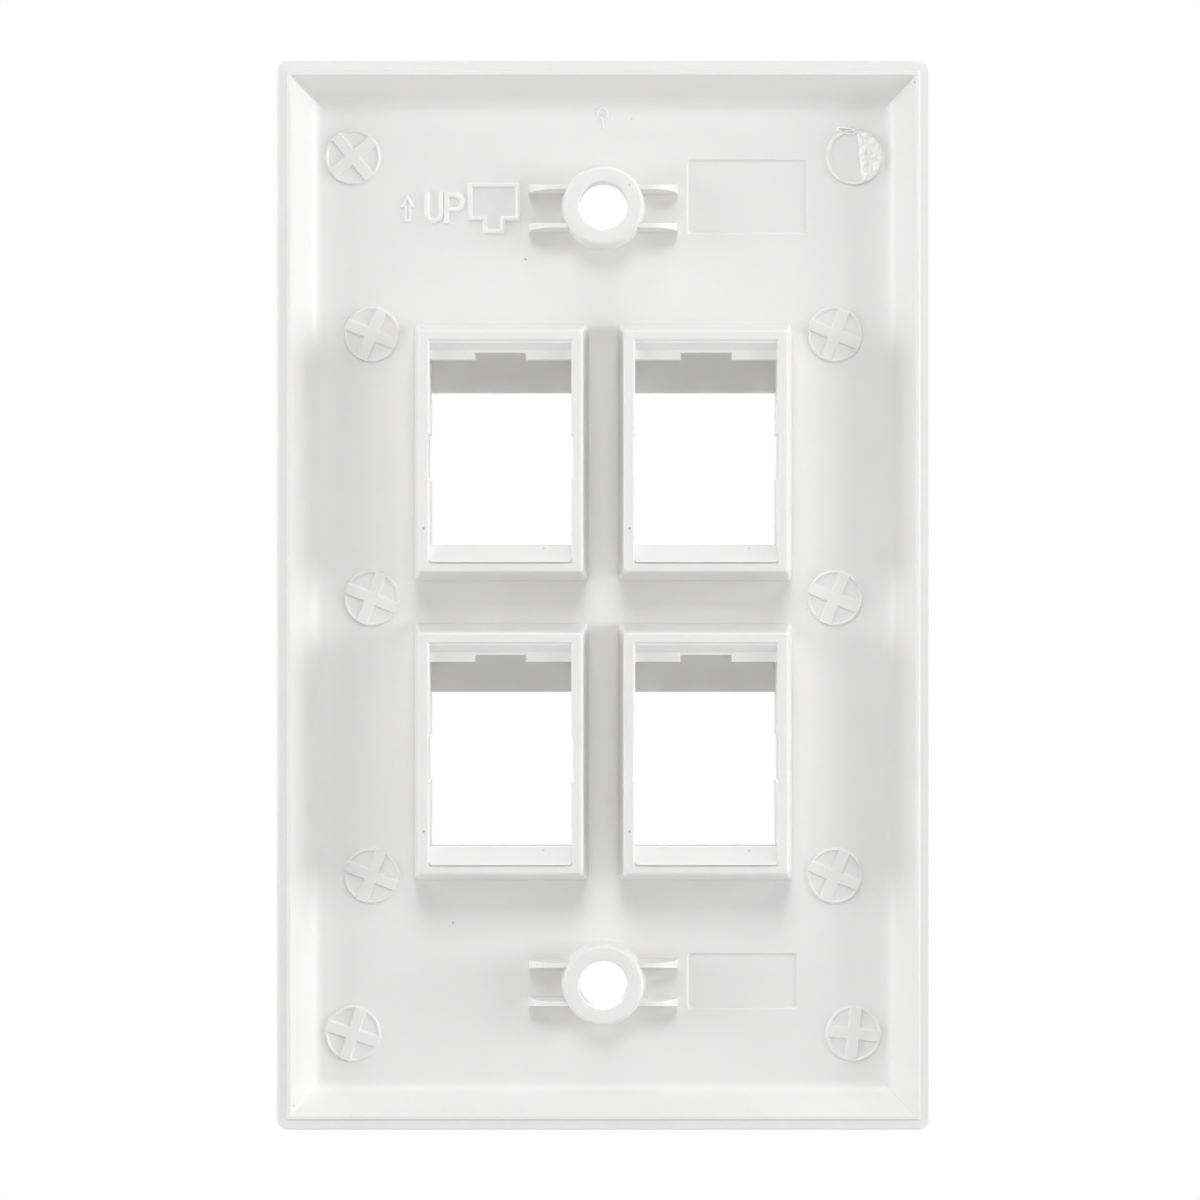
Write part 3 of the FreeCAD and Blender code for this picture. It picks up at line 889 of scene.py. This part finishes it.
def floor_material():
    """Pale floor, white away from the plate's shadow, that lets a camera below it see the plate."""
    material = bpy.data.materials.new("Pale floor")
    material.use_nodes = True
    tree = material.node_tree
    link = tree.links.new
    tree.nodes.clear()
    seen = seen_directly(tree)

    near = add_node(tree, "ShaderNodeBsdfDiffuse", Color=FLOOR_COLOR)
    lift = add_node(tree, "ShaderNodeEmission", Color=WHITE)
    link(math_node(tree, "MULTIPLY", seen, FLOOR_LIFT), lift.inputs["Strength"])
    lifted = tree.nodes.new("ShaderNodeAddShader")
    link(near.outputs[0], lifted.inputs[0])
    link(lift.outputs[0], lifted.inputs[1])

    place = tree.nodes.new("ShaderNodeTexCoord")
    reach = add_node(tree, "ShaderNodeVectorMath", operation="LENGTH")
    link(place.outputs["Object"], reach.inputs[0])
    spread = add_node(
        tree, "ShaderNodeMapRange", interpolation_type="SMOOTHSTEP",
        From_Min=SHADOW_CORE * SHADOW_RADIUS, From_Max=SHADOW_RADIUS)
    link(reach.outputs["Value"], spread.inputs["Value"])
    far = add_node(tree, "ShaderNodeEmission", Color=WHITE, Strength=1.0)
    far_share = math_node(tree, "MULTIPLY", spread.outputs[0], seen)
    top = mix_shaders(tree, far_share, lifted.outputs[0], far.outputs[0])

    below = tree.nodes.new("ShaderNodeNewGeometry").outputs["Backfacing"]
    clear = tree.nodes.new("ShaderNodeBsdfTransparent")
    output = tree.nodes.new("ShaderNodeOutputMaterial")
    link(mix_shaders(tree, below, top, clear.outputs[0]), output.inputs["Surface"])
    return material


def build_floor(stage):
    """A round floor below the plate."""
    builder = bmesh.new()
    bmesh.ops.create_circle(builder, cap_ends=True, segments=96, radius=FLOOR_RADIUS)
    mesh = bpy.data.meshes.new("floor")
    builder.to_mesh(mesh)
    builder.free()
    mesh.materials.append(floor_material())
    floor = bpy.data.objects.new("floor", mesh)
    floor.location.z = CAD_BOX[0].z - stage.floor_drop
    bpy.context.scene.collection.objects.link(floor)


def add_lamp(name, place, width, power):
    """A square soft lamp at a place, facing the plate's middle."""
    data = bpy.data.lights.new(name, "AREA")
    data.shape = "SQUARE"
    data.size = width
    data.energy = power
    data.color = LAMP_COLOR
    lamp = bpy.data.objects.new(name, data)
    lamp.location = place
    lamp.rotation_euler = (-Vector(place)).to_track_quat("-Z", "Y").to_euler()
    bpy.context.scene.collection.objects.link(lamp)


def build_lamps(stage):
    """Soft lamps above and on both sides of the rear, the same before the front, and one more."""
    for name, ((x, y, z), width) in REAR_LAMPS.items():
        power = getattr(stage, name + "_power")
        add_lamp(name, (x, y, z), width, power)
        add_lamp(name + "_front", (x, -y, z), width, power * stage.front_share)
    add_lamp("front", FRONT_LAMP_PLACE, FRONT_LAMP_WIDTH, stage.front_power)


def build_camera(stage):
    """The camera behind the plate, level with its middle."""
    data = bpy.data.cameras.new("camera")
    data.sensor_width = SENSOR / MM
    data.lens = SENSOR / MM * stage.distance / stage.view_width
    camera = bpy.data.objects.new("camera", data)
    camera.location = (CAMERA_SIDE, stage.distance, CAMERA_HEIGHT)
    camera.rotation_euler = (math.radians(90), 0, math.radians(180))
    bpy.context.scene.collection.objects.link(camera)
    bpy.context.scene.camera = camera


# Panel

class FACEPLATE_PT_sidebar(bpy.types.Panel):
    """Settings and steps for the faceplate"""

    bl_label = "Faceplate"
    bl_space_type = "VIEW_3D"
    bl_region_type = "UI"
    bl_category = "Faceplate"

    def draw(self, context):
        settings = context.scene.faceplate
        for title in ("finish", "signs", "marks", "stage"):
            box = self.layout.box()
            box.label(text=title.capitalize())
            group = getattr(settings, title)
            for name in group.bl_rna.properties.keys():
                if name not in ("rna_type", "name"):
                    box.prop(group, name)
        for operator in STEPS:
            self.layout.operator(operator.bl_idname)


STEPS = (
    FACEPLATE_OT_finish_moulding,
    FACEPLATE_OT_add_arrow,
    FACEPLATE_OT_add_letters,
    FACEPLATE_OT_add_jack_sign,
    FACEPLATE_OT_add_scar,
    FACEPLATE_OT_add_flash,
    FACEPLATE_OT_add_specks,
    FACEPLATE_OT_build_stage,
)
CLASSES = (
    FinishSettings,
    SignSettings,
    MarkSettings,
    StageSettings,
    FaceplateSettings,
    *STEPS,
    FACEPLATE_PT_sidebar,
)


def register():
    """Makes the settings, the steps and the panel known to Blender."""
    for cls in CLASSES:
        bpy.utils.register_class(cls)
    bpy.types.Scene.faceplate = PointerProperty(type=FaceplateSettings)


def unregister():
    """Takes them away again."""
    del bpy.types.Scene.faceplate
    for cls in reversed(CLASSES):
        bpy.utils.unregister_class(cls)


def main():
    """Builds everything in order."""
    register()
    bpy.ops.faceplate.finish_moulding()
    bpy.ops.faceplate.add_arrow()
    bpy.ops.faceplate.add_letters()
    bpy.ops.faceplate.add_jack_sign()
    bpy.ops.faceplate.add_scar()
    bpy.ops.faceplate.add_flash()
    bpy.ops.faceplate.add_specks()
    bpy.ops.faceplate.build_stage()


if __name__ == "__main__":
    main()
